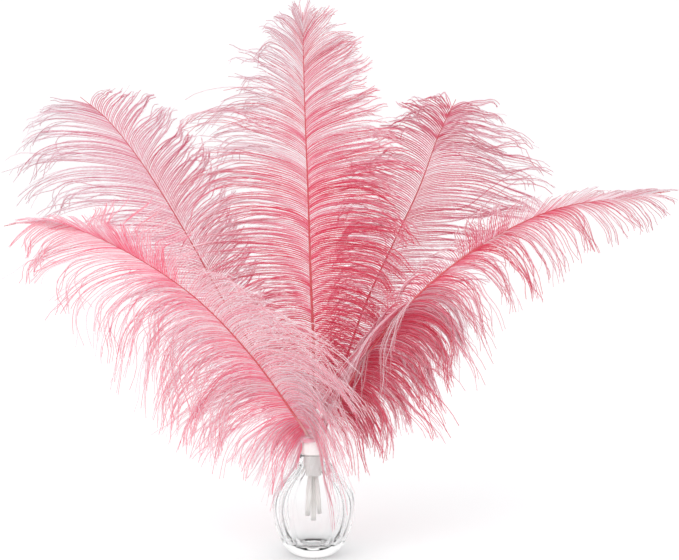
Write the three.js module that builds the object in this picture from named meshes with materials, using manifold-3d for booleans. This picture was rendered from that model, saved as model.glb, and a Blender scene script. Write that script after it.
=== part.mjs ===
// Five dyed ostrich plumes fanned out of a small fluted glass bud vase.
//
// Millimetres, +Z up. The origin is the centre of the vase's foot, on the surface that it stands on.
// The fan opens along X and its front faces -Y. Each plume is one solid: a tapering quill that runs
// on as the shaft, and on each side of it a thin curved vane that reaches the tips of the barbs.

import * as THREE from 'three';
import { mergeVertices } from 'three/addons/utils/BufferGeometryUtils.js';
import Module from 'manifold-3d';

const wasm = await Module();
wasm.setup();

// ---- Vase: radius and height up the outside wall, then up the cavity ----
const FOOT_RADIUS = 15;
const RIM_HEIGHT = 82;
const RIM_RADIUS = 11.8;
const MOUTH_RADIUS = 9.4;
const CAVITY_FLOOR = 8.5;
const OUTSIDE = [
  [FOOT_RADIUS, 0], [19, 2], [24.5, 8], [29, 16.5], [32.2, 27], [33.4, 38], [32.6, 47],
  [29.4, 56], [24, 63.5], [18.2, 70], [14, 75.5], [12.2, 79.5], [RIM_RADIUS, RIM_HEIGHT],
];
const CAVITY = [
  [9, CAVITY_FLOOR], [19, 12], [25.5, 20], [29.2, 30], [30.4, 39], [29.4, 47.5],
  [25.8, 55.5], [20.2, 62.5], [14.6, 69], [10.8, 74.5], [9.4, 78.5], [MOUTH_RADIUS, RIM_HEIGHT],
];
const FLUTES = 16;
const FLUTE_DEPTH = 1.3;
const FLUTES_FROM = 5;
const FLUTES_TO = 76;
const OUTSIDE_SIDES = FLUTES * 4;
const CAVITY_SIDES = FLUTES * 2;
const CUT_OVERRUN = 1;

// ---- Folded paper round the quills: a plug in the mouth with a loose collar above the rim ----
const PAPER_SIDES = 10;
const PAPER_BORE_SIDES = 20;
const PAPER_CREASE = 0.35;
const PAPER_OUTSIDE = [[7.9, 65], [8.4, 72], [8.7, 82.4], [11.2, 83.6], [11.4, 90], [11, 97]];
const PAPER_INSIDE = [[7, 65], [7.3, 74], [7.6, 82.4], [9.7, 90], [10, 97]];

// ---- Plumes ----
const QUILL_SIDES = 8;
const QUILL_RADIUS = 1.7;
const SHAFT_TIP_RADIUS = 0.7;
const BARE_SHARE = 0.17;
const SHAFT_TAPER_POWER = 0.8;
const VANE_ROOT_THICKNESS = 1;
const VANE_TIP_THICKNESS = 0.7;
const VANE_ROWS = 11;
const VANE_COLUMNS = 4;
const SHAFT_STEPS = 22;
const ELBOW_DEPTH_SHARE = 0.25;

// A plume's shaft runs through its points, from the cut end of the quill to the tip. Each barb of a
// vane is [how far along the shaft it grows, its rise in degrees above the level, the length that it
// reaches, how far its end falls]; the vane is smooth in between. depth is how far the tips of the
// left and of the right barbs lie behind their roots, and elbow the share of the reach at which they
// bend over.
const PLUMES = {
  feather_center: {
    colour: 0xee8296,
    shaft: [
      [0, 0, 27], [0.3, 0, 54], [0.5, 0.5, 80], [1, 4, 115], [0, 9, 175], [-2, 13, 223],
      [-4, 18, 291], [-6, 21, 343], [-7.5, 22, 395], [-8, 18, 437],
    ],
    left: [
      [0.25, -12, 28, 20], [0.36, 0, 51, 28], [0.44, 8, 73, 36], [0.51, 12, 91, 40],
      [0.6, 17, 108, 46], [0.69, 24, 108, 48], [0.79, 28, 87, 42], [0.86, 38, 68, 17],
      [0.93, 46, 43, 7], [0.985, 68, 15, 1],
    ],
    right: [
      [0.25, -16, 25, 20], [0.35, -8, 42, 26], [0.42, 0, 59, 28], [0.5, 6, 78, 28],
      [0.59, 13, 96, 34], [0.66, 16, 92, 26], [0.72, 20, 80, 14], [0.8, 26, 66, 8],
      [0.87, 33, 56, 8], [0.93, 42, 43, 8], [0.985, 66, 16, 1],
    ],
    depth: [-13, -11],
    elbow: [0.74, 0.74],
  },
  feather_upper_left: {
    colour: 0xf0a0b2,
    shaft: [
      [-4, 5, 30], [-2.8, 3.5, 54], [-3, 3.8, 80], [-4.4, 5.4, 98], [-13, 14, 115], [-36, 25, 146],
      [-69, 38, 194], [-105, 48, 257], [-140, 53, 313], [-169, 54, 350], [-190, 51, 368],
    ],
    left: [
      [0.24, -10, 26, 14], [0.38, 2, 50, 17], [0.53, 6, 64, 18], [0.65, 8, 85, 26],
      [0.76, 11, 107, 38], [0.82, 12, 106, 42], [0.88, 14, 87, 31], [0.93, 15, 65, 15],
      [0.985, 8, 24, 2],
    ],
    right: [
      [0.24, 30, 20, 2], [0.39, 38, 34, 2], [0.53, 44, 46, 2], [0.65, 50, 56, 4],
      [0.78, 53, 59, 7], [0.86, 54, 50, 8], [0.92, 54, 38, 9], [0.985, 50, 18, 6],
    ],
    depth: [10, 6],
    elbow: [0.8, 0.7],
  },
  feather_upper_right: {
    colour: 0xec8ca0,
    shaft: [
      [4, 4.5, 32], [2.8, 3.5, 54], [3, 3.8, 80], [4.2, 5.6, 98], [11, 15, 117], [26, 30, 154],
      [43, 42, 200], [65, 50, 247], [87, 55, 294], [103, 56, 338], [116, 51, 366],
    ],
    left: [
      [0.26, -14, 16, 12], [0.4, -4, 26, 15], [0.5, 0, 34, 16], [0.6, 11, 50, 17],
      [0.7, 19, 62, 15], [0.8, 26, 63, 14], [0.9, 31, 50, 12], [0.985, 36, 24, 8],
    ],
    right: [
      [0.26, -14, 22, 16], [0.4, -6, 44, 21], [0.5, 0, 65, 23], [0.6, 6, 82, 26], [0.7, 7, 92, 34],
      [0.8, 8, 92, 40], [0.87, 10, 80, 38], [0.93, 12, 58, 24], [0.985, 20, 32, 13],
    ],
    depth: [6, 10],
    elbow: [0.75, 0.75],
  },
  feather_lower_left: {
    colour: 0xf2a2b0,
    shaft: [
      [-3.5, -5, 35], [-2.7, -3.5, 54], [-2.9, -3.8, 80], [-4.3, -5.2, 98], [-17, -16, 121],
      [-50, -29, 170], [-90, -41, 215], [-131, -49, 246], [-172, -53, 268], [-206, -54, 279],
      [-238, -52, 274],
    ],
    left: [
      [0.195, -60, 31, 31], [0.24, -16, 40, 48], [0.29, 4, 64, 54], [0.37, 8, 73, 66],
      [0.45, 6, 66, 72], [0.53, 8, 67, 77], [0.6, 7, 71, 69], [0.66, 4, 77, 48],
      [0.73, -1, 74, 25], [0.8, -4, 55, 12], [0.86, -10, 36, 6], [0.93, -14, 20, 3],
    ],
    right: [
      [0.222, 26, 36, 72], [0.25, 26, 48, 80], [0.3, 20, 72, 76], [0.36, 18, 84, 60],
      [0.44, 24, 84, 48], [0.5, 32, 68, 36], [0.56, 40, 50, 21], [0.64, 54, 33, 8],
      [0.72, 92, 29, 1], [0.8, 124, 25, 0], [0.88, 152, 19, 1], [0.93, 172, 18, 2],
    ],
    depth: [-20, -28],
    elbow: [0.85, 0.62],
  },
  feather_lower_right: {
    colour: 0xe4788c,
    shaft: [
      [4, -5, 37], [2.8, -3.5, 54], [3, -3.8, 80], [4.3, -5.2, 98], [17, -13, 120], [38, -21, 160],
      [67, -29, 200], [98, -37, 232], [130, -44, 257], [162, -49, 276], [191, -52, 288],
      [229, -54, 295], [276, -53, 301],
    ],
    left: [
      [0.2, -8, 12, 10], [0.26, -14, 17, 30], [0.33, 0, 21, 34], [0.4, 14, 25, 34],
      [0.48, 25, 27, 24], [0.56, 32, 28, 17], [0.64, 50, 23, 9], [0.71, 84, 18, 1],
      [0.77, 126, 19, 2], [0.84, 146, 28, 6], [0.92, 158, 30, 7], [0.97, 166, 19, 4],
    ],
    right: [
      [0.19, -58, 36, 12], [0.24, -38, 42, 18], [0.3, -26, 56, 31], [0.38, -14, 60, 39],
      [0.46, -8, 56, 40], [0.56, -6, 42, 37], [0.66, -6, 34, 37], [0.76, -8, 28, 35],
      [0.84, -12, 25, 24], [0.92, -12, 22, 16], [0.97, -4, 17, 6],
    ],
    depth: [5, -8],
    elbow: [0.75, 0.72],
  },
};

// ---- Closed meshes ----

const MERGE_DISTANCE = 1e-4;

function toGeometry(points, triangles) {
  const geometry = new THREE.BufferGeometry();
  const positions = points.flatMap((p) => [p.x, p.y, p.z]);
  geometry.setAttribute('position', new THREE.Float32BufferAttribute(positions, 3));
  geometry.setIndex(triangles);
  return geometry;
}

function toSolid(geometry) {
  const merged = mergeVertices(geometry, MERGE_DISTANCE);
  return new wasm.Manifold(new wasm.Mesh({
    numProp: 3,
    vertProperties: Float32Array.from(merged.attributes.position.array),
    triVerts: Uint32Array.from(merged.index.array),
  }));
}

function fromSolid(solid) {
  const mesh = solid.getMesh();
  const geometry = new THREE.BufferGeometry();
  geometry.setAttribute('position', new THREE.BufferAttribute(mesh.vertProperties, 3));
  geometry.setIndex(new THREE.BufferAttribute(mesh.triVerts, 1));
  geometry.computeVertexNormals();
  return geometry;
}

// The walls between each ring of points and the next one.
function wallTriangles(ringCount, sides) {
  const triangles = [];
  for (let i = 0; i + 1 < ringCount; i += 1) {
    for (let j = 0; j < sides; j += 1) {
      const k = (j + 1) % sides;
      const [a, b] = [i * sides + j, i * sides + k];
      const [c, d] = [a + sides, b + sides];
      triangles.push(a, b, d, a, d, c);
    }
  }
  return triangles;
}

// A body through rings of points that run anticlockwise as seen from its last ring, with flat ends.
function loft(rings) {
  const sides = rings[0].length;
  const points = rings.flat();
  const triangles = wallTriangles(rings.length, sides);
  const last = (rings.length - 1) * sides;
  for (let j = 1; j + 1 < sides; j += 1) {
    triangles.push(0, j + 1, j, last, last + j, last + j + 1);
  }
  return toGeometry(points, triangles);
}

// A level ring about the Z axis, with a radius that may vary round it.
function levelRing(sides, z, radiusAt) {
  return Array.from({ length: sides }, (_, i) => {
    const angle = (i / sides) * Math.PI * 2;
    const radius = radiusAt(angle, i);
    return new THREE.Vector3(radius * Math.cos(angle), radius * Math.sin(angle), z);
  });
}

// ---- Vase ----

function fluteDepth(z) {
  const share = THREE.MathUtils.clamp((z - FLUTES_FROM) / (FLUTES_TO - FLUTES_FROM), 0, 1);
  return FLUTE_DEPTH * Math.sqrt(Math.sin(Math.PI * share));
}

function makeVase() {
  const outside = loft(OUTSIDE.map(([radius, z]) => {
    const valley = (angle) => 1 - Math.abs(Math.cos(angle * FLUTES / 2));
    return levelRing(OUTSIDE_SIDES, z, (angle) => radius - fluteDepth(z) * valley(angle));
  }));
  const aboveRim = [MOUTH_RADIUS, RIM_HEIGHT + CUT_OVERRUN];
  const cavity = loft([...CAVITY, aboveRim].map(
    ([radius, z]) => levelRing(CAVITY_SIDES, z, () => radius),
  ));
  return fromSolid(toSolid(outside).subtract(toSolid(cavity)));
}

// ---- Folded paper ----

function makePaper() {
  const creased = (radius) => (angle, i) => radius - (i % 2 ? PAPER_CREASE : 0);
  const outside = loft(PAPER_OUTSIDE.map(
    ([radius, z]) => levelRing(PAPER_SIDES, z, creased(radius)),
  ));
  const [bottomRadius, bottom] = PAPER_INSIDE[0];
  const [topRadius, top] = PAPER_INSIDE.at(-1);
  const below = [bottomRadius, bottom - CUT_OVERRUN];
  const above = [topRadius, top + CUT_OVERRUN];
  const bore = loft([below, ...PAPER_INSIDE, above].map(
    ([radius, z]) => levelRing(PAPER_BORE_SIDES, z, () => radius),
  ));
  return fromSolid(toSolid(outside).subtract(toSolid(bore)));
}

// ---- Plumes ----

function shaftRadius(share) {
  const along = THREE.MathUtils.clamp((share - BARE_SHARE) / (1 - BARE_SHARE), 0, 1);
  return THREE.MathUtils.lerp(QUILL_RADIUS, SHAFT_TIP_RADIUS, along ** SHAFT_TAPER_POWER);
}

function quillSolid(curve) {
  const across = new THREE.Vector3(0, 1, 0);
  const rings = [];
  for (let i = 0; i <= SHAFT_STEPS; i += 1) {
    const share = i / SHAFT_STEPS;
    const centre = curve.getPointAt(share);
    const side = new THREE.Vector3().crossVectors(across, curve.getTangentAt(share)).normalize();
    const front = new THREE.Vector3().crossVectors(curve.getTangentAt(share), side);
    rings.push(Array.from({ length: QUILL_SIDES }, (_, j) => {
      const angle = (j / QUILL_SIDES) * Math.PI * 2;
      return centre.clone()
        .addScaledVector(side, shaftRadius(share) * Math.cos(angle))
        .addScaledVector(front, shaftRadius(share) * Math.sin(angle));
    }));
  }
  return toSolid(loft(rings));
}

// The barb that grows at a share of the shaft, blended from the two given on either side of it.
function barbAt(barbs, share) {
  const next = Math.max(1, barbs.findIndex(([at]) => at >= share));
  const [before, after] = [barbs[next - 1], barbs[next]];
  const blend = (share - before[0]) / (after[0] - before[0]);
  return before.map((value, i) => THREE.MathUtils.lerp(value, after[i], blend));
}

// A barb as a curve: it leaves the shaft at its rise, bends over at the elbow and falls to its tip.
function barbCurve(root, [, rise, reach, fall], side, depth, elbow) {
  const angle = THREE.MathUtils.degToRad(rise);
  const out = new THREE.Vector3(side * Math.cos(angle), 0, Math.sin(angle));
  const bend = root.clone().addScaledVector(out, reach * elbow);
  bend.y += depth * ELBOW_DEPTH_SHARE;
  const tip = root.clone().addScaledVector(out, reach);
  tip.y += depth;
  tip.z -= fall;
  return new THREE.QuadraticBezierCurve3(root, bend, tip);
}

// The thin closed sheet that the barbs on one side of a shaft fill.
function vaneSolid(curve, barbs, side, depth, elbow) {
  const [first, last] = [barbs[0][0], barbs.at(-1)[0]];
  const middle = [];
  for (let i = 0; i <= VANE_ROWS; i += 1) {
    const share = THREE.MathUtils.lerp(first, last, i / VANE_ROWS);
    const root = curve.getPointAt(share);
    const barb = barbCurve(root, barbAt(barbs, share), side, depth, elbow);
    middle.push(barb.getPoints(VANE_COLUMNS));
  }
  const normalAt = (i, j) => {
    const up = middle[Math.min(i + 1, VANE_ROWS)][j].clone().sub(middle[Math.max(i - 1, 0)][j]);
    const out = middle[i][Math.min(j + 1, VANE_COLUMNS)].clone()
      .sub(middle[i][Math.max(j - 1, 0)]);
    return up.cross(out).normalize().multiplyScalar(side);
  };
  const rows = middle.map((row, i) => {
    const skin = (sign) => row.map((point, j) => {
      const thickness = THREE.MathUtils.lerp(
        VANE_ROOT_THICKNESS, VANE_TIP_THICKNESS, j / VANE_COLUMNS,
      );
      return point.clone().addScaledVector(normalAt(i, j), sign * thickness / 2);
    });
    return [...skin(1), ...skin(-1).reverse()];
  });
  const around = rows[0].length;
  const triangles = wallTriangles(rows.length, around);
  const end = VANE_ROWS * around;
  for (let j = 0; j < VANE_COLUMNS; j += 1) {
    const [a, b] = [j, j + 1];
    const [c, d] = [around - 1 - j, around - 2 - j];
    triangles.push(a, d, b, a, c, d, end + a, end + b, end + d, end + a, end + d, end + c);
  }
  if (side > 0) triangles.reverse();
  return toSolid(toGeometry(rows.flat(), triangles));
}

function makePlume({ shaft, left, right, depth, elbow }) {
  const points = shaft.map((p) => new THREE.Vector3(...p));
  const curve = new THREE.CatmullRomCurve3(points, false, 'centripetal');
  return fromSolid(quillSolid(curve)
    .add(vaneSolid(curve, left, -1, depth[0], elbow[0]))
    .add(vaneSolid(curve, right, 1, depth[1], elbow[1])));
}

// ---- The arrangement ----

const arrangement = new THREE.Group();

function addPiece(name, geometry, color, roughness, options = {}) {
  const material = new THREE.MeshStandardMaterial({ color, roughness, metalness: 0, ...options });
  const mesh = new THREE.Mesh(geometry, material);
  mesh.name = name;
  arrangement.add(mesh);
}

addPiece('vase', makeVase(), 0xf2f6f7, 0.04, { transparent: true, opacity: 0.35 });
addPiece('paper_wrap', makePaper(), 0xf7f6f2, 0.85);
for (const [name, plume] of Object.entries(PLUMES)) {
  addPiece(name, makePlume(plume), plume.colour, 0.9, { side: THREE.DoubleSide });
}

export default arrangement;
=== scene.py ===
import math

import bpy
import numpy as np
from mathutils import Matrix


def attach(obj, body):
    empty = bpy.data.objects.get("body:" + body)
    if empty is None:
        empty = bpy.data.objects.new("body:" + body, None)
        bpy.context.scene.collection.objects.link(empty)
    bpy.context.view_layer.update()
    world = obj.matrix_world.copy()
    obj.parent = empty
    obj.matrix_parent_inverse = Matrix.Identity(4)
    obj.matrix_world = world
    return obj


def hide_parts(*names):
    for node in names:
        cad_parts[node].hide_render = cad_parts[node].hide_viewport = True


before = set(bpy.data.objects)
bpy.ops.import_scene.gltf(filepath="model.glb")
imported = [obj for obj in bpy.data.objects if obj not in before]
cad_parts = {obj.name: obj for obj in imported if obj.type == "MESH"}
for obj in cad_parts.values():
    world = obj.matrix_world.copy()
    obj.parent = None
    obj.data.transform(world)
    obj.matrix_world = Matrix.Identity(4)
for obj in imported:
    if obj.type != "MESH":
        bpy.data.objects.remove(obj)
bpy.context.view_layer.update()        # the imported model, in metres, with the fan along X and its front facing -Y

MM = 0.001

# ---- Camera: a long lens a little above the middle of the fan ----
IMAGE_WIDTH = 679
MM_PER_PIXEL = 0.8
CAMERA_DISTANCE = 1.7
CAMERA_ELEVATION = math.radians(8)
CAMERA_TARGET = np.array([0.0212, 0.0, 0.2246])
SENSOR_WIDTH = 36.0
FLOOR_SIZE = 120.0          # metres, so that its edge never shows

# ---- Barbs ----
BARB_SPACING = 1.6          # mm along the shaft
BARB_SAMPLES = 18
BARB_CROWDING = 1.3         # packs the samples of a barb towards its root
BARB_WIDTH = 0.55           # mm of a barb above the fold along it, at the root
BARB_TIP_WIDTH = 0.22
LINE_WIDTH = 0.28           # mm of its lower side, below the fold, which is painted as shade
LINE_TIP_WIDTH = 0.2
BARB_RIDGE = 0.3            # mm that the fold stands forward
CLUMP_SIZES = (3, 12)       # fewest barbs in a clump, and one more than the most
STRAY_SHARE = 0.09          # of the barbs stray: they keep out of their clump
STRAY_LOOSENESS = 2.0       # and wander this much more
BARB_LENGTHS = (0.4, 1.08)  # shortest and longest, as shares of what their row says
BARB_TONE = 0.47            # where the dye lists count from
BARB_PAINTED_HIGHLIGHT = (0.34, 0.05)          # painted highlight: tone added at the upper edge and on the fold
BARBULE_LENGTH = 5.2        # mm
BARBULES_OUTWARD = 0.8      # under 1 crowds the barbules away from the root
BARBULE_SHADE = 0.06        # how much paler they are than their barb
BARBULE_WIDTH = 0.25
BARBULES_BACK = 0.22        # lean of the barbules behind their barb and down, as shares of length
BARBULES_DOWN = 0.08
TONE_SPREAD = 0.012         # how much the tone differs between the two edges of a strand
ROOT_SWEEP = 4.5            # mm that a barb first runs up its shaft before it turns outward
STREAKS = (4, 56, 1)        # how fine the streaks are along a strand and from tone to tone
TONE_FLOOR = 0.333          # a strand's tone is stored as this much and a scaled part of it
TONE_SCALE = 0.533
DYE_WEIGHTS = (0.21, 0.9, 0.18)     # of the place along a strand, its stored tone and the streaks
DYE_STOPS = (0.3, 0.39, 0.6, 0.78, 0.9)
LINE_DEPTHS = (0.39, 0.3)   # where the painted shade of the lower side lies among the stops, in deep and in pale parts
LET_THROUGH = 0.36
SHAFT_SIDES = 10
SHAFT_FLATNESS = 0.85       # depth from front to back, as a share of the width
SHAFT_STEPS = 60
QUILL_RADIUS = 1.65
SHAFT_TIP_RADIUS = 0.25

# A plume's shaft runs through its points, in mm, from the cut end of the quill to the tip. Each row
# of a vane is a barb: how far along the shaft it grows, its rise in degrees above the level, the
# length that it reaches, how far its end falls. Pairs are for the left and the right vane: depth is
# how far the tips lie behind their roots, elbow how far out the barbs bend over, curl how far their
# ends turn up, loose how far they wander, dye how much paler a barb is at some shares of the shaft,
# and fade how much paler it runs to its end. A tuft is a lock of extra barbs on one side, with rows
# and values of its own; spacing is the mm between its roots.
PLUMES = {
    "feather_center": dict(
        shaft=[
            (0, 0, 27), (0.3, 0, 54), (0.5, 0.5, 80), (1, 4, 115), (0, 9, 175), (-2, 13, 223),
            (-4, 18, 291), (-6, 21, 343), (-7.5, 22, 395), (-8, 18, 437),
        ],
        vanes=(
            [
                (0.25, -12, 28, 20), (0.36, 0, 51, 28), (0.44, 8, 73, 36), (0.51, 12, 91, 40),
                (0.6, 17, 108, 46), (0.69, 24, 108, 48), (0.79, 28, 87, 42), (0.86, 38, 68, 17),
                (0.93, 46, 43, 7), (0.985, 68, 15, 1),
            ],
            [
                (0.25, -16, 25, 20), (0.35, -8, 42, 26), (0.42, 0, 59, 28), (0.5, 6, 78, 28),
                (0.59, 13, 96, 34), (0.66, 16, 92, 26), (0.72, 20, 78, 14), (0.8, 27, 60, 8),
                (0.87, 33, 56, 8), (0.93, 42, 43, 8), (0.985, 66, 16, 1),
            ],
        ),
        depth=(-13, -11), elbow=(0.74, 0.74), curl=(0, 1), barbules=(100000, 98000),
        dye=([(0.25, -0.26), (0.5, -0.11), (0.7, 0.05), (0.8, 0.46), (1, 0.75)],
             [(0.25, -0.26), (0.5, -0.18), (0.65, 0.02), (0.8, 0.26), (0.9, 0.4), (1, 0.85)]),
        loose=(1.0, 0.9), fade=(0.05, -0.32), bulk=1.25, seed=11,
        tufts=[
            # Deeper layers behind the lower half of both vanes
            dict(side=-1, spacing=1.5, depth=-6, elbow=0.74, curl=0, loose=0.8,
                 dye=[(0.3, -0.08), (0.5, 0.16), (0.7, 0.4)], rows=[
                     (0.27, -10, 34, 14), (0.36, 4, 52, 22), (0.46, 12, 76, 30),
                     (0.56, 17, 92, 36), (0.66, 22, 94, 38), (0.76, 27, 76, 30), (0.88, 44, 44, 6),
                 ]),
            dict(side=1, spacing=1.3, depth=-4, elbow=0.74, curl=0, loose=0.8,
                 dye=[(0.3, -0.16), (0.55, -0.04), (0.8, 0.16)], rows=[
                     (0.27, -10, 32, 14), (0.35, 0, 50, 20), (0.45, 6, 66, 22),
                     (0.56, 13, 80, 26), (0.66, 17, 82, 24), (0.8, 28, 60, 9), (0.9, 38, 48, 8),
                 ]),
            # Close barbs round the tip
            dict(side=-1, spacing=1.5, depth=-3, elbow=0.7, curl=2, loose=0.7,
                 dye=[(0.9, 0.55)], rows=[
                     (0.9, 42, 46, 8), (0.95, 54, 31, 5), (0.992, 76, 14, 1),
                 ]),
            dict(side=1, spacing=1.3, depth=-3, elbow=0.7, curl=2, loose=0.7,
                 dye=[(0.89, 0.16), (0.95, 0.5)], rows=[
                     (0.89, 36, 50, 8), (0.95, 50, 32, 6), (0.992, 76, 14, 1),
                 ]),
        ],
    ),
    "feather_upper_left": dict(
        shaft=[
            (-4, 5, 30), (-2.8, 3.5, 54), (-3, 3.8, 80), (-4.4, 5.4, 98), (-13, 14, 115),
            (-36, 25, 146), (-69, 38, 194), (-105, 48, 257), (-140, 53, 313), (-169, 54, 350),
            (-190, 51, 368),
        ],
        vanes=(
            [
                (0.24, -10, 26, 14), (0.38, 2, 50, 17), (0.53, 6, 64, 18), (0.65, 8, 85, 26),
                (0.76, 11, 107, 38), (0.82, 12, 106, 42), (0.88, 14, 87, 31), (0.93, 15, 65, 15),
                (0.985, 8, 24, 2),
            ],
            [
                (0.24, 30, 20, 2), (0.39, 38, 34, 2), (0.53, 44, 46, 2), (0.65, 50, 56, 4),
                (0.78, 53, 59, 7), (0.86, 54, 50, 8), (0.92, 54, 38, 9), (0.985, 50, 18, 6),
            ],
        ),
        depth=(10, 6), elbow=(0.8, 0.7), curl=(0, 3), barbules=(67000, 48000),
        dye=([(0.24, -0.14), (0.55, -0.22), (0.75, 0.1), (1, 0.3)],
             [(0.24, -0.14), (0.6, -0.08), (0.8, 0.04), (1, 0.08)]),
        loose=(1.1, 1.2), fade=(0.27, -0.1), bulk=0.95, seed=22,
        tufts=[],
    ),
    "feather_upper_right": dict(
        shaft=[
            (4, 4.5, 32), (2.8, 3.5, 54), (3, 3.8, 80), (4.2, 5.6, 98), (11, 15, 117),
            (26, 30, 154), (43, 42, 200), (65, 50, 247), (87, 55, 294), (103, 56, 338),
            (116, 51, 366),
        ],
        vanes=(
            [
                (0.26, -14, 16, 12), (0.4, -4, 26, 15), (0.5, 0, 34, 16), (0.6, 11, 50, 17),
                (0.7, 19, 62, 15), (0.8, 26, 63, 14), (0.9, 31, 50, 12), (0.985, 36, 24, 8),
            ],
            [
                (0.26, -14, 22, 16), (0.4, -6, 44, 21), (0.5, 0, 65, 23), (0.6, 6, 82, 26),
                (0.7, 7, 92, 34), (0.8, 7, 92, 42), (0.87, 7, 80, 42), (0.93, 9, 58, 28),
                (0.985, 16, 32, 15),
            ],
        ),
        depth=(6, 10), elbow=(0.75, 0.75), curl=(-2, 9), barbules=(43000, 65000),
        dye=([(0.26, -0.24), (0.5, -0.23), (0.7, -0.33), (1, -0.2)],
             [(0.26, -0.2), (0.6, -0.1), (1, -0.09)]),
        loose=(1.2, 1.2), fade=(-0.1, 0.05), bulk=1.15, seed=33,
        tufts=[
            # The curled crown at the tip
            dict(side=-1, spacing=1.8, depth=-3, elbow=0.7, curl=-6, loose=1.6,
                 dye=[(0.9, 0.0)], rows=[
                     (0.9, 36, 44, 12), (0.95, 38, 34, 10), (0.99, 56, 18, 6),
                 ]),
            dict(side=1, spacing=1.8, depth=-3, elbow=0.6, curl=4, loose=1.6,
                 dye=[(0.9, 0.12)], rows=[
                     (0.88, 0, 60, 28), (0.94, 6, 44, 21), (0.99, 24, 22, 10),
                 ]),
        ],
    ),
    "feather_lower_left": dict(
        shaft=[
            (-3.5, -5, 35), (-2.7, -3.5, 54), (-2.9, -3.8, 80), (-4.3, -5.2, 98),
            (-17, -16, 121), (-50, -29, 170), (-90, -41, 215), (-131, -49, 246),
            (-172, -53, 268), (-206, -54, 279), (-238, -52, 274),
        ],
        vanes=(
            [
                (0.195, -60, 31, 31), (0.24, -16, 40, 48), (0.29, 4, 64, 54), (0.37, 8, 73, 66),
                (0.45, 6, 66, 72), (0.53, 8, 67, 77), (0.6, 7, 71, 69), (0.66, 4, 77, 48),
                (0.73, -1, 74, 25), (0.8, -8, 52, 16), (0.86, -20, 35, 13), (0.93, -30, 20, 7),
            ],
            [
                (0.222, 26, 36, 72), (0.25, 26, 48, 80), (0.3, 20, 72, 76), (0.36, 18, 84, 60),
                (0.44, 24, 84, 48), (0.5, 32, 68, 36), (0.56, 40, 50, 21), (0.64, 54, 33, 8),
                (0.72, 92, 29, 1), (0.8, 124, 25, 0), (0.88, 152, 19, 1), (0.93, 172, 18, 2),
            ],
        ),
        depth=(-20, -28), elbow=(0.85, 0.62), curl=(-2, 0), barbules=(80000, 75000),
        dye=([(0.2, 0.08), (0.3, 0.3), (0.45, 0.48), (0.65, 0.48), (0.8, 0.42), (0.93, 0.5)],
             [(0.2, 0.34), (0.3, 0.47), (0.45, 0.54), (0.6, 0.42), (0.8, 0.2)]),
        loose=(1.3, 0.7), fade=(-0.08, 0.0), bulk=0.75, seed=44,
        tufts=[
            # A deeply dyed fan over the quills at the mouth of the vase
            dict(side=-1, spacing=0.5, depth=-6, elbow=0.8, curl=0, loose=0.8,
                 dye=[(0.2, 0.34)], rows=[
                     (0.17, -72, 40, 20), (0.185, -58, 44, 20), (0.205, -36, 46, 20),
                     (0.23, -16, 56, 28),
                 ]),
            dict(side=-1, spacing=0.4, depth=-9, elbow=0.7, curl=0, loose=0.8,
                 dye=[(0.2, 0.06)], rows=[
                     (0.17, -60, 15, 12), (0.19, -40, 22, 12), (0.22, -20, 28, 14),
                 ]),
            dict(side=1, spacing=0.5, depth=-8, elbow=0.62, curl=-1, loose=0.8,
                 dye=[(0.2, 0.0)], rows=[
                     (0.17, 66, 12, 8), (0.185, 50, 18, 14), (0.215, 40, 26, 40),
                 ]),
            dict(side=1, spacing=0.35, depth=-7, elbow=0.7, curl=0, loose=0.7,
                 dye=[(0.2, 0.16)], rows=[
                     (0.166, -8, 8, 1), (0.19, -20, 11, 2), (0.21, -22, 17, 5), (0.24, -8, 27, 14),
                     (0.28, 4, 34, 26),
                 ]),
            # Long pale strands that sweep past the right of the vase's mouth
            dict(side=1, spacing=1.2, depth=-12, elbow=0.62, curl=-1, loose=0.9,
                 dye=[(0.2, 0.54)], rows=[
                     (0.225, 30, 40, 92), (0.26, 28, 52, 96), (0.3, 24, 66, 88),
                     (0.35, 20, 76, 72),
                 ]),
            dict(side=1, spacing=2.4, depth=-7, elbow=0.62, curl=-1, loose=1.1,
                 dye=[(0.2, 0.06)], rows=[
                     (0.215, 30, 34, 78), (0.26, 28, 50, 92),
                 ]),
            # A shorter layer that fills the left vane
            dict(side=-1, spacing=1.2, depth=-12, elbow=0.8, curl=-1, loose=1.2,
                 dye=[(0.3, 0.04), (0.45, 0.2)], rows=[
                     (0.28, 0, 56, 42), (0.4, 6, 54, 48), (0.52, 6, 52, 50), (0.64, 2, 56, 38),
                 ]),
            # The thick skirt under the root of the left vane
            dict(side=-1, spacing=0.75, depth=-10, elbow=0.85, curl=-1, loose=1.3,
                 dye=[(0.2, 0.04)], rows=[
                     (0.215, -28, 44, 20), (0.25, -11, 66, 26), (0.3, -5, 82, 34),
                     (0.34, -2, 80, 40),
                 ]),
            # Scattered paler strands in front of both vanes
            dict(side=1, spacing=2.4, depth=-31, elbow=0.62, curl=0, loose=1.7, dye=[(0.3, 0.75)],
                 rows=[
                     (0.27, 24, 62, 82), (0.34, 19, 84, 66), (0.44, 25, 86, 48),
                     (0.52, 36, 62, 32),
                 ]),
            dict(side=-1, spacing=4, depth=-23, elbow=0.84, curl=-2, loose=2.0, dye=[(0.3, 0.75)],
                 rows=[(0.3, 4, 66, 54), (0.45, 7, 66, 70), (0.6, 7, 70, 66)]),
            # A curly lock on the upper side
            dict(side=1, spacing=1.4, depth=-6, elbow=0.62, curl=-13, loose=2.4,
                 dye=[(0.7, 0.08)], rows=[
                     (0.62, 82, 26, 0), (0.67, 98, 36, 0), (0.72, 112, 40, 0), (0.76, 120, 34, 0),
                     (0.8, 128, 22, 0),
                 ]),
            # The spear of barbs closed round the tip
            dict(side=1, spacing=1.1, depth=-1, elbow=0.62, curl=0, loose=0.2,
                 dye=[(0.9, 0.12)], rows=[(0.84, 178, 24, 0), (0.95, 190, 18, 0)]),
        ],
    ),
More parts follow.
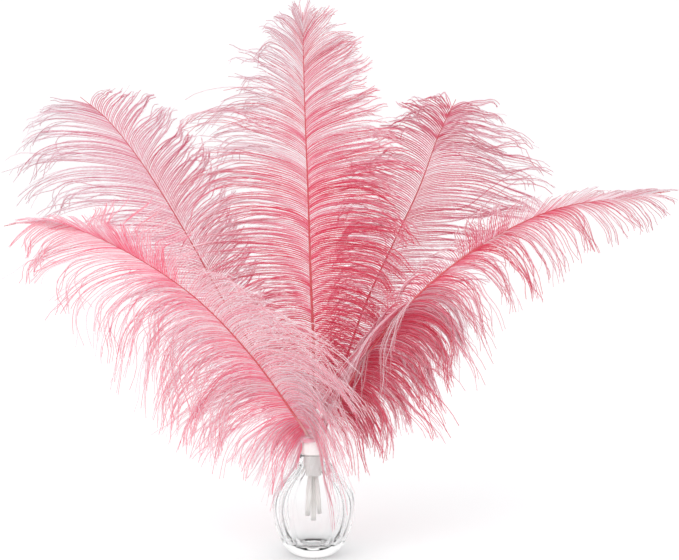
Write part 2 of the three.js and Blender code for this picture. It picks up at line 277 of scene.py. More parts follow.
    "feather_lower_right": dict(
        shaft=[
            (4, -5, 37), (2.8, -3.5, 54), (3, -3.8, 80), (4.3, -5.2, 98), (17, -13, 120),
            (38, -21, 160), (67, -29, 200), (98, -37, 232), (130, -44, 257), (162, -49, 276),
            (191, -52, 288), (229, -54, 295), (276, -53, 301),
        ],
        vanes=(
            [
                (0.2, -8, 12, 10), (0.26, -14, 17, 30), (0.33, 0, 21, 34), (0.4, 14, 25, 34),
                (0.48, 25, 27, 24), (0.56, 32, 28, 17), (0.64, 50, 23, 9), (0.71, 84, 18, 1),
                (0.77, 126, 19, 2), (0.84, 146, 28, 6), (0.92, 158, 30, 7), (0.97, 166, 19, 4),
            ],
            [
                (0.19, -44, 30, 28), (0.24, -20, 38, 40), (0.3, -8, 50, 48), (0.38, 1, 57, 54),
                (0.46, 5, 55, 53), (0.56, 5, 45, 48), (0.66, 1, 36, 43), (0.76, -6, 28, 36),
                (0.84, -12, 25, 24), (0.92, -12, 22, 16), (0.97, -4, 17, 6),
            ],
        ),
        depth=(5, -8), elbow=(0.75, 0.8), curl=(0, 1), barbules=(34000, 88000),
        dye=([(0.2, -0.12), (0.5, 0.0), (0.8, 0.25), (1, 0.4)],
             [(0.2, -0.28), (0.3, -0.29), (0.38, -0.16), (0.66, -0.12), (0.8, 0.16), (1, 0.42)]),
        loose=(0.6, 1.9), fade=(0.0, 0.0), bulk=1.0, seed=55,
        tufts=[
            # A second, darker layer behind the hanging barbs near the root
            dict(side=1, spacing=0.55, depth=9, elbow=0.74, curl=0, loose=0.9,
                 dye=[(0.25, -0.28), (0.31, -0.24), (0.4, 0.01), (0.6, 0.05)], rows=[
                     (0.21, -34, 31, 20), (0.26, -18, 36, 32), (0.31, -8, 43, 42),
                     (0.36, 0, 48, 46), (0.42, 4, 50, 46), (0.52, 4, 40, 40),
                 ]),
            # Shorter barbs that fill the space between that layer and the vane
            dict(side=1, spacing=0.9, depth=1, elbow=0.8, curl=1, loose=1.5,
                 dye=[(0.24, -0.25), (0.37, -0.06)], rows=[
                     (0.22, -30, 28, 22), (0.3, -8, 38, 38), (0.37, 2, 45, 42),
                     (0.46, 5, 43, 40),
                 ]),
            # A tress that runs down beside the shaft on its upper side
            dict(side=-1, spacing=1.1, depth=-10, elbow=0.6, curl=0, loose=0.5,
                 dye=[(0.3, -0.1), (0.5, 0.08)], rows=[
                     (0.3, -24, 26, 26), (0.38, -28, 46, 30), (0.48, -28, 66, 34),
                 ]),
            # A curly lock on the upper side
            dict(side=-1, spacing=1.5, depth=-4, elbow=0.75, curl=5, loose=1.2,
                 dye=[(0.6, 0.05)], rows=[
                     (0.6, 62, 24, 2), (0.65, 84, 30, 0), (0.7, 104, 26, 0),
                 ]),
            # Pale loose wisps that hang down in front of the shaft
            dict(side=-1, spacing=2.4, depth=-14, elbow=0.6, curl=-2, loose=2.4,
                 dye=[(0.3, 0.36)], rows=[(0.33, -34, 16, 22), (0.37, -34, 19, 28)]),
            dict(side=-1, spacing=2.4, depth=-16, elbow=0.6, curl=-2, loose=2.6,
                 dye=[(0.4, 0.4)], rows=[(0.44, -30, 26, 38), (0.49, -28, 29, 50)]),
            dict(side=1, spacing=2.4, depth=-14, elbow=0.6, curl=-2, loose=2.6,
                 dye=[(0.6, 0.4)], rows=[(0.65, 32, 18, 28), (0.69, 26, 24, 36)]),
        ],
    ),
}

# Dyes, with a painted shade first: the painted shade on the lower side of a pale strand, then the dyes from the
# deepest to the palest. ROSE is a shaft's.
DYES_AND_PAINTED_SHADE = {
    "feather_center": (
        (182, 86, 108), (220, 54, 83), (243, 104, 134), (237, 164, 185), (248, 235, 240)),
    "feather_upper_left": (
        (176, 96, 116), (202, 74, 102), (233, 124, 151), (234, 180, 199), (247, 237, 241)),
    "feather_upper_right": (
        (182, 88, 110), (200, 58, 86), (232, 110, 138), (231, 168, 187), (246, 232, 237)),
    "feather_lower_left": (
        (231, 114, 140), (252, 86, 122), (254, 137, 166), (244, 192, 210), (250, 241, 245)),
    "feather_lower_right": (
        (187, 72, 95), (208, 50, 76), (240, 98, 124), (239, 168, 187), (249, 235, 240)),
}
ROSE = (200, 54, 66)

# ---- Vase profile, mm: radius and height up the outside wall, then up the cavity ----
OUTSIDE = [
    (15, 0), (19, 2), (24.5, 8), (29, 16.5), (32.2, 27), (33.4, 38), (32.6, 47), (29.4, 56),
    (24, 63.5), (18.2, 70), (14, 75.5), (12.2, 79.5), (11.8, 82),
]
CAVITY = [
    (9, 8.5), (19, 12), (25.5, 20), (29.2, 30), (30.4, 39), (29.4, 47.5), (25.8, 55.5),
    (20.2, 62.5), (14.6, 69), (10.8, 74.5), (9.4, 78.5), (9.4, 82),
]
PROFILE_STEPS = 5           # to each span of the two profiles
FLUTES = 16
SIDES_PER_FLUTE = 10
FLUTE_DEPTH = 1.8           # mm at the middle of the height
CAVITY_RIPPLE = 1.4         # mm that the flutes show in the cavity
FLUTES_FROM = 12
FLUTES_TO = 76
STRAND_CLEARANCE = 1.2
# Strands are kept out of this: height and radius up the vase, round the paper and over its top
NO_STRANDS = [(z, r + STRAND_CLEARANCE) for r, z in OUTSIDE] + [(84, 12.8), (97, 12.6), (101, 0)]


# ---- Shared helpers ----

def add_mesh(name, points, faces, smooth=False):
    """A piece from points in metres and faces of one size each, riding on the root body."""
    mesh = bpy.data.meshes.new(name)
    corners = faces.shape[1]
    mesh.vertices.add(len(points))
    mesh.vertices.foreach_set("co", np.asarray(points, np.float32).ravel())
    mesh.loops.add(faces.size)
    mesh.loops.foreach_set("vertex_index", faces.astype(np.int32).ravel())
    mesh.polygons.add(len(faces))
    mesh.polygons.foreach_set("loop_start", np.arange(len(faces), dtype=np.int32) * corners)
    mesh.polygons.foreach_set("loop_total", np.full(len(faces), corners, np.int32))
    mesh.polygons.foreach_set("use_smooth", np.full(len(faces), smooth))
    mesh.update(calc_edges=True)
    piece = bpy.data.objects.new(name, mesh)
    bpy.context.collection.objects.link(piece)
    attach(piece, "root")
    return piece


def add_attribute(piece, name, values):
    layer = piece.data.attributes.new(name, "FLOAT", "POINT")
    layer.data.foreach_set("value", np.asarray(values, np.float32).ravel())


def add_bake_map(piece, along, tone):
    """A map on which each point lies by the two values that set its colour."""
    layer = piece.data.uv_layers.new(name="OFBake", do_init=False)
    point = np.empty(len(piece.data.loops), np.int32)
    piece.data.loops.foreach_get("vertex_index", point)
    layer.uv.foreach_set("vector", np.stack([along, tone], 1)[point].astype(np.float32).ravel())


def unit(v):
    return v / np.maximum(np.linalg.norm(v, axis=-1, keepdims=True), 1e-9)


def catmull_rom(points, per_span=24):
    """Points of a centripetal Catmull-Rom curve through the given ones."""
    p = np.asarray(points, float)
    p = np.vstack([2 * p[0] - p[1], p, 2 * p[-1] - p[-2]])
    found = []
    for a, b, c, d in zip(p, p[1:], p[2:], p[3:]):
        t1 = np.linalg.norm(b - a) ** 0.5
        t2 = t1 + np.linalg.norm(c - b) ** 0.5
        t3 = t2 + np.linalg.norm(d - c) ** 0.5
        t = np.linspace(t1, t2, per_span, endpoint=False)[:, None]
        ab = (t1 - t) / t1 * a + t / t1 * b
        bc = (t2 - t) / (t2 - t1) * b + (t - t1) / (t2 - t1) * c
        cd = (t3 - t) / (t3 - t2) * c + (t - t2) / (t3 - t2) * d
        abc = (t2 - t) / t2 * ab + t / t2 * bc
        bcd = (t3 - t) / (t3 - t1) * bc + (t - t1) / (t3 - t1) * cd
        found.append((t2 - t) / (t2 - t1) * abc + (t - t1) / (t2 - t1) * bcd)
    return np.vstack([*found, p[-2]])


class Shaft:
    """A curve that is read by the share of its length."""

    def __init__(self, points):
        self.points = catmull_rom(points)
        steps = np.linalg.norm(np.diff(self.points, axis=0), axis=1)
        self.length = steps.sum()
        self.shares = np.concatenate([[0], np.cumsum(steps)]) / self.length

    def at(self, share):
        return np.stack([np.interp(share, self.shares, q) for q in self.points.T], -1)

    def along(self, share):
        return unit(self.at(np.minimum(share + 0.004, 1)) - self.at(np.maximum(share - 0.004, 0)))


def tube_faces(rows, sides):
    """Triangles of a tube of rings, closed by fans to two more points: below it, then above."""
    i, j = np.meshgrid(np.arange(rows - 1), np.arange(sides), indexing="ij")
    a, b = i * sides + j, i * sides + (j + 1) % sides
    quads = np.stack([a, b, b + sides, a + sides], -1).reshape(-1, 4)
    around = np.arange(sides)
    after = (around + 1) % sides
    last = (rows - 1) * sides
    lower = np.stack([after, around, np.full(sides, rows * sides)], 1)
    upper = np.stack([last + around, last + after, np.full(sides, rows * sides + 1)], 1)
    return np.vstack([quads[:, [0, 1, 2]], quads[:, [0, 2, 3]], lower, upper])


# ---- Materials ----

def new_material(name):
    material = bpy.data.materials.new(name)
    material.use_nodes = True
    nodes = material.node_tree.nodes
    nodes.clear()
    output = nodes.new("ShaderNodeOutputMaterial")
    shader = nodes.new("ShaderNodeBsdfPrincipled")
    material.node_tree.links.new(shader.outputs[0], output.inputs["Surface"])
    return material, nodes, material.node_tree.links, shader, output


def ramp(nodes, stops):
    node = nodes.new("ShaderNodeValToRGB")
    node.color_ramp.elements[0].position, node.color_ramp.elements[0].color = stops[0]
    node.color_ramp.elements[1].position, node.color_ramp.elements[1].color = stops[-1]
    for position, colour in stops[1:-1]:
        node.color_ramp.elements.new(position).color = colour
    return node


def noise(nodes, links, scale, detail=2.0):
    place = nodes.new("ShaderNodeTexCoord")
    node = nodes.new("ShaderNodeTexNoise")
    node.inputs["Scale"].default_value = scale
    node.inputs["Detail"].default_value = detail
    links.new(place.outputs["Object"], node.inputs["Vector"])
    return node


def srgb(red, green, blue):
    """A colour given in 0 to 255, as Blender's linear numbers."""
    return tuple(((v / 255 + 0.055) / 1.055) ** 2.4 for v in (red, green, blue)) + (1.0,)


def mix_colour(nodes, links, share, first, second):
    node = nodes.new("ShaderNodeMix")
    node.data_type = "RGBA"
    for socket, value in ((0, share), (6, first), (7, second)):
        if hasattr(value, "is_linked"):
            links.new(value, node.inputs[socket])
        else:
            node.inputs[socket].default_value = value
    return node.outputs[2]


def barb_material(name, colours):
    """Dyed barbs: each strand has its tone, which runs paler to its tip, with streaks along it; the tone also
    carries a painted highlight and painted shade on the two sides of each barb.
    """
    material, nodes, links, shader, output = new_material(name)
    along = nodes.new("ShaderNodeAttribute")
    along.attribute_name = "along"
    tone = nodes.new("ShaderNodeAttribute")
    tone.attribute_name = "tone"
    place = nodes.new("ShaderNodeCombineXYZ")
    links.new(along.outputs["Fac"], place.inputs["X"])
    links.new(tone.outputs["Fac"], place.inputs["Y"])
    stretch = nodes.new("ShaderNodeVectorMath")
    stretch.operation = "MULTIPLY"
    stretch.inputs[1].default_value = STREAKS
    links.new(place.outputs[0], stretch.inputs[0])
    streaks = nodes.new("ShaderNodeTexNoise")
    streaks.inputs["Scale"].default_value = 1.0
    links.new(stretch.outputs[0], streaks.inputs["Vector"])
    weighed = nodes.new("ShaderNodeVectorMath")
    weighed.operation = "DOT_PRODUCT"
    weighed.inputs[1].default_value = DYE_WEIGHTS
    parts = nodes.new("ShaderNodeCombineXYZ")
    links.new(along.outputs["Fac"], parts.inputs["X"])
    links.new(tone.outputs["Fac"], parts.inputs["Y"])
    links.new(streaks.outputs["Fac"], parts.inputs["Z"])
    links.new(parts.outputs[0], weighed.inputs[0])
    stops = [(share, srgb(*colour)) for share, colour in zip(DYE_STOPS, colours)]
    dye = ramp(nodes, stops)
    links.new(weighed.outputs["Value"], dye.inputs["Fac"])
    links.new(dye.outputs["Color"], shader.inputs["Base Color"])
    shader.inputs["Roughness"].default_value = 0.6
    shader.inputs["Specular IOR Level"].default_value = 0.3
    through = nodes.new("ShaderNodeBsdfTranslucent")
    links.new(dye.outputs["Color"], through.inputs["Color"])
    both = nodes.new("ShaderNodeMixShader")
    both.inputs[0].default_value = LET_THROUGH
    links.new(shader.outputs[0], both.inputs[1])
    links.new(through.outputs[0], both.inputs[2])
    links.new(both.outputs[0], output.inputs["Surface"])
    return material


def shaft_material(name, rose, horn):
    """Horny grey-white quill below, dyed rose where the barbs grow, with fine flecks."""
    material, nodes, links, shader, _ = new_material(name)
    along = nodes.new("ShaderNodeAttribute")
    along.attribute_name = "along"
    dye = ramp(nodes, [(0.1, horn), (0.24, rose), (1.0, rose)])
    links.new(along.outputs["Fac"], dye.inputs["Fac"])
    streaks = ramp(nodes, [(0.35, (0, 0, 0, 1)), (0.75, (0.15, 0.15, 0.15, 1))])
    links.new(noise(nodes, links, 900, 4).outputs["Fac"], streaks.inputs["Fac"])
    colour = mix_colour(nodes, links, streaks.outputs["Color"], dye.outputs["Color"], horn)
    links.new(colour, shader.inputs["Base Color"])
    shader.inputs["Roughness"].default_value = 0.38
    return material


def glass_material():
    material, nodes, links, shader, _ = new_material("clear_glass")
    tint = ramp(nodes, [(0.3, (0.985, 0.99, 0.99, 1)), (0.7, (1, 1, 1, 1))])
    links.new(noise(nodes, links, 60).outputs["Fac"], tint.inputs["Fac"])
    links.new(tint.outputs["Color"], shader.inputs["Base Color"])
    shader.inputs["Roughness"].default_value = 0.0
    shader.inputs["IOR"].default_value = 1.3
    shader.inputs["Transmission Weight"].default_value = 1.0
    return material


def paper_material():
    material, nodes, links, shader, _ = new_material("folded_paper")
    fibre = ramp(nodes, [(0.3, srgb(247, 246, 243)), (0.7, srgb(254, 253, 251))])
    fine = noise(nodes, links, 1200, 5)
    links.new(fine.outputs["Fac"], fibre.inputs["Fac"])
    links.new(fibre.outputs["Color"], shader.inputs["Base Color"])
    bump = nodes.new("ShaderNodeBump")
    bump.inputs["Strength"].default_value = 0.15
    bump.inputs["Distance"].default_value = 0.0002
    links.new(fine.outputs["Fac"], bump.inputs["Height"])
    links.new(bump.outputs["Normal"], shader.inputs["Normal"])
    shader.inputs["Roughness"].default_value = 0.85
    return material


# ---- Plumes ----

def rows_at(rows, shares):
    """The barb rows blended to the given shares, with the corners between rows rounded off."""
    table = np.array(rows, float)
    reach = max(1, len(shares) // 24)
    kernel = np.hanning(2 * reach + 3)[1:-1]
    kernel /= kernel.sum()
    values = [np.interp(shares, table[:, 0], column) for column in table.T[1:]]
    return [np.convolve(np.pad(v, reach, mode="edge"), kernel, mode="valid") for v in values]


def clumps_of(count, rng):
    """For each barb: its clump, the barb in the clump's middle, and how near the edge it lies."""
    sizes = rng.integers(*CLUMP_SIZES, count)
    clump = np.repeat(np.arange(count), sizes)[:count]
    starts = np.searchsorted(clump, clump)
    ends = np.searchsorted(clump, clump, side="right") - 1
    middle = (starts + ends) // 2
    edge = np.abs(np.arange(count) - middle) / np.maximum(ends - middle, 1)
    return clump, middle, np.minimum(edge, 1)


def smooth_noise(count, step, rng):
    """Noise between about -1 and 1 that changes over a number of neighbours."""
    knots = rng.uniform(-1, 1, int(count / step) + 3)
    return np.interp(np.arange(count) / step, np.arange(len(knots)), knots)


def smooth_step(t, low, high):
    share = np.clip((t - low) / (high - low), 0, 1)
    return share * share * (3 - 2 * share)


def outside_vase(points):
    """The points in mm, with those inside the vase or its paper moved straight out of them."""
    away = np.hypot(points[..., 0], points[..., 1])
    push = np.maximum(np.interp(points[..., 2], *zip(*NO_STRANDS)) / np.maximum(away, 0.1), 1)
    return points * np.stack([push, push, np.ones_like(push)], -1)


def barb_paths(shaft, rows, side, spacing, depth, elbow, curl, loose, dye, fade, rng):
    """Barb paths in mm as (barb, sample, xyz), their tones, and how wide their painted shaded side is."""
    first, last = rows[0][0], rows[-1][0]
    count = int((last - first) * shaft.length / spacing)
    shares = np.linspace(first, last, count)
    rise, reach, fall = rows_at(rows, shares)
    clump, middle, edge = clumps_of(count, rng)

    def each(by_clump, by_barb):
        drawn = rng.normal(0, by_clump, count)[clump] + rng.normal(0, by_barb, count)
        return drawn[:, None, None]

    # Most barbs end short of the longest, so that the vane thins out towards its edge.
    stray = rng.random(count) < STRAY_SHARE
    wild = loose * np.where(stray, STRAY_LOOSENESS, 1.0)[:, None, None]
    uneven = np.interp(shares, [0.6, 0.85], [0.15, 0.08])
    length = 1.07 - 0.07 * edge - np.abs(rng.normal(0, uneven)) + each(0.05, 0)[:, 0, 0]
    length = np.where(stray, rng.uniform(0.7, 1.04, count), np.clip(length, *BARB_LENGTHS))
    reach = reach * length
    fall = fall * length ** 1.4 * (1 + each(0.1, 0.1)[:, 0, 0])
    bent = np.clip(elbow + each(0.04, 0.05)[:, 0, 0], 0.4, 0.97)
    root = shaft.at(shares)
    angle = np.radians(rise)
    out = np.stack([side * np.cos(angle), np.zeros(count), np.sin(angle)], 1)
    knee = root + out * (reach * bent)[:, None] + np.array([0, depth / 4, 0])
    tip = root + out * reach[:, None]
    tip[:, 1] += depth * length
    tip[:, 2] -= fall
    t = np.linspace(0, 1, BARB_SAMPLES)[None, :, None] ** BARB_CROWDING
    path = (1 - t) ** 2 * root[:, None] + 2 * t * (1 - t) * knee[:, None] + t ** 2 * tip[:, None]
    # The barbs leave the shaft side by side, and wander more and more towards their ends.
    reached = reach[:, None, None]
    size = np.clip(reached / 60, 0.25, 1.2)
    across = unit(np.cross(np.gradient(path, axis=1), np.array([0, side, 0])))
    waves = (0.5 + 0.5 * rng.random(count)[clump])[:, None, None]
    phase = rng.random(count)[clump][:, None, None] + each(0, 0.1)
    astray = t ** 2.2 * np.radians(each(3.0, 2.6)) * reached
    sway = t ** 1.8 * np.sin(math.tau * (waves * t + phase)) * each(1.6, 1.3)
    ripple = t ** 1.5 * np.sin(math.tau * (2.5 * t + 1.7 * phase)) * each(0.3, 0.8)
    bend = smooth_step(t, 0.6, 1) * (curl + each(2.2, 2.4))
    path = path + across * (astray + (sway + ripple + bend) * size) * wild
    path[:, :, 1:2] += t ** 1.6 * np.clip(each(3.2, 2.8), -7, 7) * size
    # The barbs of a clump draw together farther out and part again at their tips.
    hold = np.clip(rng.normal(0.5, 0.2, count), 0.05, 0.85)[clump]
    hold = np.where(stray, 0.1, hold)[:, None, None]
    pull = smooth_step(t, 0.32, 0.92) * (1 - 0.4 * t ** 4) * hold
    upward = shaft.along(shares)[:, None]
    apart = upward * ((np.arange(count) - middle) * 0.35 * spacing)[:, None, None]
    path = path * (1 - pull) + (path[middle] + apart) * pull
    path = path - upward * ROOT_SWEEP * np.exp(-t * reached / ROOT_SWEEP)
    path = outside_vase(path)
    level = np.interp(shares, *zip(*dye))
    tone = BARB_TONE + level + 0.06 * smooth_noise(count, 14, rng) + each(0.09, 0.15)[:, 0, 0]
    tone = tone[:, None] + fade * t[:, :, 0] ** 0.8
    shaded_width = np.full(count, min(1, spacing / BARB_SPACING))
    return path, tone, shaded_width


def stored(tone):
    return np.clip(TONE_FLOOR + TONE_SCALE * tone, 0.01, 0.99)


def painted_shade_tone(along, tone):
    """The stored tone that puts the painted shade of a strand's lower side at its place among the stops."""
    pale = smooth_step(0.35 * along + 0.8 * tone, 0.65, 1.1)
    depth = LINE_DEPTHS[0] + (LINE_DEPTHS[1] - LINE_DEPTHS[0]) * pale
    from_along, from_tone, from_streaks = DYE_WEIGHTS
    found = (depth - from_along * along - from_streaks / 2) / from_tone
    return np.clip(found, 0.01, 0.99)


def barb_ribbons(path, tone, shaded_width, rng):
    """Each barb's stiff middle: a tapering ribbon, folded along it, with a painted highlight above the fold and
    painted shade below it.
    """
    count, samples, _ = path.shape
    tangent = unit(np.gradient(path, axis=1))
    facing = np.stack([rng.normal(0, 0.3, count), -np.ones(count), rng.normal(0, 0.3, count)], 1)
    width_way = unit(np.cross(tangent, facing[:, None]))
    width_way *= np.sign(width_way[:, :, 2].mean(1))[:, None, None]
    t = np.linspace(0, 1, samples) ** BARB_CROWDING
    narrow = smooth_step(t, -0.3, 0.12)
    upper = (BARB_WIDTH + (BARB_TIP_WIDTH - BARB_WIDTH) * t ** 0.8) * narrow
    lower = (LINE_WIDTH + (LINE_TIP_WIDTH - LINE_WIDTH) * t) * narrow
    ridge = path + unit(facing)[:, None] * BARB_RIDGE
    above = path + width_way * upper[None, :, None]
    below = path - width_way * lower[None, :, None] * shaded_width[:, None, None]
    points = np.stack([above, ridge, ridge, below], 2).reshape(-1, 3)
    start = (np.arange(count) * samples * 4)[:, None] + np.arange(samples - 1)[None] * 4
    side = np.stack([start, start + 1, start + 5, start + 4], -1).reshape(-1, 4)
    quads = np.vstack([side, side + 2])
    along = np.repeat(np.tile(t, count), 4)
    # Painted highlight: the upper edge and the fold are made paler, as if lit from above.
    lit = stored(tone[:, :, None] + np.array(BARB_PAINTED_HIGHLIGHT))
    # Painted shade: the lower side below the fold is made darker, as if in shadow.
    painted_shade_side = painted_shade_tone(t[None, :, None], tone[:, :, None]) + np.array([TONE_SPREAD, 0])
    shade = np.concatenate([lit, painted_shade_side], 2)
    return points, quads, along, shade.ravel(), width_way


def barbule_slivers(path, tone, width_way, total, rng):
    """The barbules: one long sliver of a triangle each, swept forward along its barb."""
    count, samples, _ = path.shape
    length = np.linalg.norm(np.diff(path, axis=1), axis=2).sum(1)
    number = np.maximum((total * length / length.sum()).astype(int), 4)
    barb = np.repeat(np.arange(count), number)
    order = np.concatenate([np.arange(n) for n in number])
    t = ((order + rng.random(len(order))) / number[barb]) ** BARBULES_OUTWARD
    spot = t ** (1 / BARB_CROWDING) * (samples - 1)
    low = np.minimum(spot.astype(int), samples - 2)
    part = (spot - low)[:, None]
    base = path[barb, low] * (1 - part) + path[barb, low + 1] * part
    tangent = unit(path[barb, low + 1] - path[barb, low])
    aside = width_way[barb, low] * np.where(order % 2, 1, -1)[:, None]
    above = np.cross(tangent, aside)
    turn = rng.normal(0, 0.7, len(t))[:, None]
    outward = aside * np.cos(turn) + above * np.sin(turn)
    sweep = np.radians(np.clip(rng.normal(25, 8, len(t)) - 12 * t, 5, 55))[:, None]
    way = tangent * np.cos(sweep) + outward * np.sin(sweep)
    way += np.array([0, BARBULES_BACK, -BARBULES_DOWN])
    size = BARBULE_LENGTH * np.interp(t, [0, 0.02, 0.08, 0.7, 1], [0.5, 0.7, 1, 0.9, 0.5])
    size = size * rng.uniform(0.55, 1.35, len(t)) * np.clip(length[barb] / 50, 0.4, 1)
    end = outside_vase(base + way * size[:, None])
    foot = tangent * BARBULE_WIDTH / 2
    points = np.stack([base - foot, base + foot, end], 1).reshape(-1, 3)
    faces = np.arange(len(points)).reshape(-1, 3)
    ahead = np.minimum(t + size / length[barb], 1)
    along = np.stack([t, t, ahead], 1).ravel()
    shade = stored(tone[barb, low] + BARBULE_SHADE + rng.normal(0, 0.09, len(t)))
    shades = np.stack([shade - TONE_SPREAD, shade + TONE_SPREAD, shade], 1)
    return points, faces, along, shades.ravel()


def quill_radius(share, bulk):
    """Full in the vase, then thinner by the plume's bulk where the barbs begin, down to the tip."""
    return np.interp(
        share, [0, 0.17, 0.3, 0.6, 1],
        [QUILL_RADIUS, QUILL_RADIUS, bulk, 0.62 * bulk, SHAFT_TIP_RADIUS],
    )


def add_shaft(name, shaft, bulk, material):
    """The quill and shaft: a tapering tube, closed at both ends, a little flattened."""
    share = np.linspace(0, 1, SHAFT_STEPS + 1)
    centre, forward = shaft.at(share), shaft.along(share)
    side = unit(np.cross(np.array([0, 1, 0]), forward))
    front = np.cross(forward, side)
    turn = np.linspace(0, math.tau, SHAFT_SIDES, endpoint=False)
    oval = np.cos(turn)[None, :, None] * side[:, None]
    oval = oval + np.sin(turn)[None, :, None] * front[:, None] * SHAFT_FLATNESS
    rings = centre[:, None] + oval * quill_radius(share, bulk)[:, None, None]
    points = np.vstack([rings.reshape(-1, 3), centre[:1], centre[-1:]]) * MM
    piece = add_mesh(name, points, tube_faces(SHAFT_STEPS + 1, SHAFT_SIDES), smooth=True)
    add_attribute(piece, "along", np.concatenate([np.repeat(share, SHAFT_SIDES), [0, 1]]))
    piece.data.materials.append(material)
    return piece


def add_vane(name, strands, total, material, rng):
    """One side of a plume from its barbs' paths, tones and widths of shaded side."""
    path = np.concatenate([found[0] for found in strands])
    tone = np.concatenate([found[1] for found in strands])
    shaded_width = np.concatenate([found[2] for found in strands])
    ribbons, quads, along, shade, width_way = barb_ribbons(path, tone, shaded_width, rng)
    slivers, faces, sliver_along, sliver_shade = barbule_slivers(path, tone, width_way, total, rng)
    split = np.vstack([quads[:, [0, 1, 2]], quads[:, [0, 2, 3]], faces + len(ribbons)])
    piece = add_mesh(name, np.vstack([ribbons, slivers]) * MM, split)
    along = np.concatenate([along, sliver_along])
    tone = np.clip(np.concatenate([shade, sliver_shade]), 0, 1)
    add_attribute(piece, "along", along)
    add_attribute(piece, "tone", tone)
    add_bake_map(piece, along, tone)
    piece.data.materials.append(material)
    return piece


def add_plume(node, plume, colours):
    slot = node.replace("feather", "plume")
    shaft = Shaft(plume["shaft"])
    rng = np.random.default_rng(plume["seed"])
    horn = srgb(244, 241, 238)
    quill = shaft_material(slot + "_shaft", srgb(*ROSE), horn)
    pieces = [add_shaft(node + "_shaft", shaft, plume["bulk"], quill)]
    barbs = barb_material(slot + "_barbs", colours)
    for k, (label, side) in enumerate((("left", -1), ("right", 1))):
        elbow, loose = plume["elbow"][k], plume["loose"][k]
        strands = [barb_paths(shaft, plume["vanes"][k], side, BARB_SPACING, plume["depth"][k],
                              elbow, plume["curl"][k], loose, plume["dye"][k], plume["fade"][k],
                              rng)]
        for tuft in plume["tufts"]:
            if tuft["side"] == side:
                strands.append(barb_paths(shaft, tuft["rows"], side, tuft["spacing"], tuft["depth"],
                                          tuft["elbow"], tuft["curl"], tuft["loose"], tuft["dye"],
                                          0.0, rng))
        total = plume["barbules"][k]
        pieces.append(add_vane(f"{node}_{label}_vane", strands, total, barbs, rng))
    for piece in pieces:
        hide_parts(node)


def add_plumes():
    for node, plume in PLUMES.items():
        add_plume(node, plume, DYES_AND_PAINTED_SHADE[node])


# ---- Vase ----

def flute_depth(z):
    share = np.clip((z - FLUTES_FROM) / (FLUTES_TO - FLUTES_FROM), 0, 1)
    return FLUTE_DEPTH * np.sin(math.pi * share) ** 0.4


def add_vase():
    """One closed wall: out from the foot's centre, up the flutes, over the rim and down inside."""
    sides = FLUTES * SIDES_PER_FLUTE
    foot = [(0.0, 1.6), (7.0, 1.4), (9.0, 0.6), (11.5, 0.1), (13.5, 0.0)]
    wall = catmull_rom(OUTSIDE, PROFILE_STEPS)
    rim = [(11.5, 82.5), (10.6, 82.8), (9.8, 82.5)]
    inside = catmull_rom(CAVITY[::-1], PROFILE_STEPS)
    floor = [(6.0, 7.9), (3.0, 7.6), (0.0, 7.5)]
    profile = np.array([*foot, *wall, *rim, *inside, *floor])
    first_flute = len(foot)
    last_flute = first_flute + len(wall)
    turn = np.linspace(0, math.tau, sides, endpoint=False)
    radius = np.repeat(profile[:, :1], sides, axis=1)
    valley = 1 - np.abs(np.cos(turn * FLUTES / 2))
    depth = flute_depth(profile[first_flute:last_flute, 1])
    radius[first_flute:last_flute] -= depth[:, None] * valley[None]
    first_inside = last_flute + len(rim)
    last_inside = first_inside + len(inside)
    ripple = flute_depth(profile[first_inside:last_inside, 1]) * CAVITY_RIPPLE / FLUTE_DEPTH
    radius[first_inside:last_inside] -= ripple[:, None] * valley[None]
    ring = np.stack([radius * np.cos(turn), radius * np.sin(turn),
                     np.repeat(profile[:, 1:], sides, axis=1)], -1)
    middle = ring[1:-1].reshape(-1, 3)
    points = np.vstack([middle, [0, 0, profile[0, 1]], [0, 0, profile[-1, 1]]]) * MM
    faces = tube_faces(len(profile) - 2, sides)
    piece = add_mesh("vase_glass", points, faces, smooth=True)
    piece.data.materials.append(glass_material())
    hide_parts("vase")


# ---- Folded paper ----

def add_paper():
    """A strip of paper folded round the quills: creased facets, an uneven top edge and a cuff."""
    rng = np.random.default_rng(7)
    sides = 14
    outside = [(7.9, 65), (8.4, 72), (8.7, 82.4), (11.2, 83.6), (11.4, 90), (11, 97)]
    inside = [(10, 97), (9.7, 90), (7.6, 82.4), (7.3, 74), (7, 65)]
    profile = outside + inside
    turn = np.linspace(0, math.tau, sides, endpoint=False) + rng.uniform(-0.06, 0.06, sides)
    crease = np.where(np.arange(sides) % 2, 0.94, 1.0) * rng.uniform(0.98, 1.0, sides)
    top = rng.uniform(-2.5, 0, sides)
    rings = []
    for radius, z in profile:
        lift = top * np.clip((z - 84) / 13, 0, 1)
        rings.append(np.stack([radius * crease * np.cos(turn), radius * crease * np.sin(turn),
                               z + lift], 1))
    points = np.vstack(rings) * MM
    rows = len(profile)
    i, j = np.meshgrid(np.arange(rows), np.arange(sides), indexing="ij")
    k, below = (j + 1) % sides, (i + 1) % rows
    quads = np.stack([i * sides + j, i * sides + k, below * sides + k, below * sides + j], -1)
    quads = quads.reshape(-1, 4)
    piece = add_mesh("paper_wrap_folds", points, quads)
    piece.data.materials.append(paper_material())
    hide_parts("paper_wrap")


# ---- Stage, light and camera ----

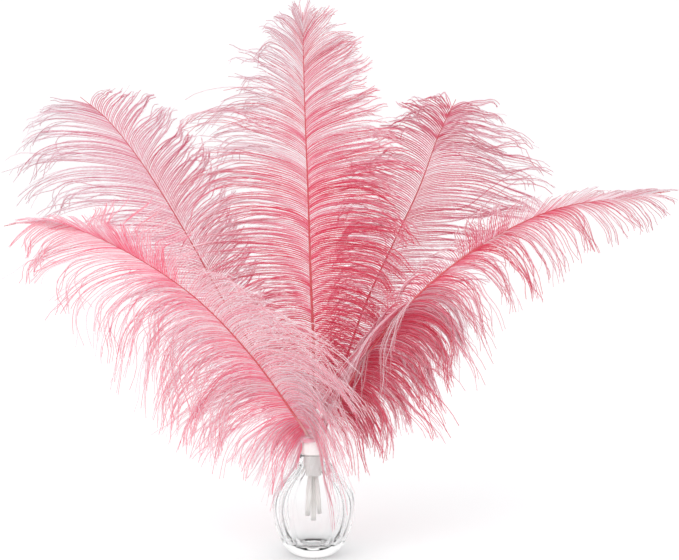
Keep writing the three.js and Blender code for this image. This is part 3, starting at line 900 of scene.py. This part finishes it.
def add_stage():
    half = FLOOR_SIZE / 2
    points = [(-half, -half, 0), (half, -half, 0), (half, half, 0), (-half, half, 0)]
    mesh = bpy.data.meshes.new("floor")
    mesh.from_pydata(points, [], [(0, 1, 2, 3)])
    floor = bpy.data.objects.new("floor", mesh)
    bpy.context.collection.objects.link(floor)
    material, nodes, links, shader, _ = new_material("pale_floor")
    pale = ramp(nodes, [(0.3, (0.965, 0.985, 0.99, 1)), (0.7, (0.975, 0.993, 0.998, 1))])
    links.new(noise(nodes, links, 3).outputs["Fac"], pale.inputs["Fac"])
    links.new(pale.outputs["Color"], shader.inputs["Base Color"])
    shader.inputs["Roughness"].default_value = 0.6
    shader.inputs["Specular IOR Level"].default_value = 0.1
    mesh.materials.append(material)


def add_area_light(name, place, aim, size, power):
    data = bpy.data.lights.new(name, "AREA")
    data.shape = "DISK"
    data.size = size
    data.energy = power
    light = bpy.data.objects.new(name, data)
    light.location = place
    way = np.array(aim) - np.array(place)
    light.rotation_euler = look_along(way)
    bpy.context.collection.objects.link(light)


def look_along(way):
    """Euler angles that turn an object's -Z along this way, with its Y kept upward."""
    way = way / np.linalg.norm(way)
    return (math.acos(-way[2]), 0.0, math.atan2(-way[0], way[1]))


def add_lights():
    world = bpy.data.worlds.new("studio")
    bpy.context.scene.world = world
    world.use_nodes = True
    background = world.node_tree.nodes["Background"]
    background.inputs["Color"].default_value = (1, 1, 1, 1)
    background.inputs["Strength"].default_value = 1.05
    add_area_light("key", (-0.9, -1.1, 1.3), (0, 0, 0.22), 1.2, 6.5)
    add_area_light("fill", (0.6, -1.8, 0.7), (0, 0, 0.25), 1.2, 1.8)


def add_camera():
    data = bpy.data.cameras.new("camera")
    data.sensor_width = SENSOR_WIDTH
    data.lens = SENSOR_WIDTH * CAMERA_DISTANCE / (IMAGE_WIDTH * MM_PER_PIXEL * MM)
    data.clip_end = 200
    camera = bpy.data.objects.new("camera", data)
    back = np.array([0, -math.cos(CAMERA_ELEVATION), math.sin(CAMERA_ELEVATION)])
    camera.location = CAMERA_TARGET + back * CAMERA_DISTANCE
    camera.rotation_euler = look_along(-back)
    bpy.context.collection.objects.link(camera)
    bpy.context.scene.camera = camera


add_camera()
add_stage()
add_lights()
add_vase()
add_paper()
add_plumes()
bpy.context.scene.view_settings.view_transform = "Standard"
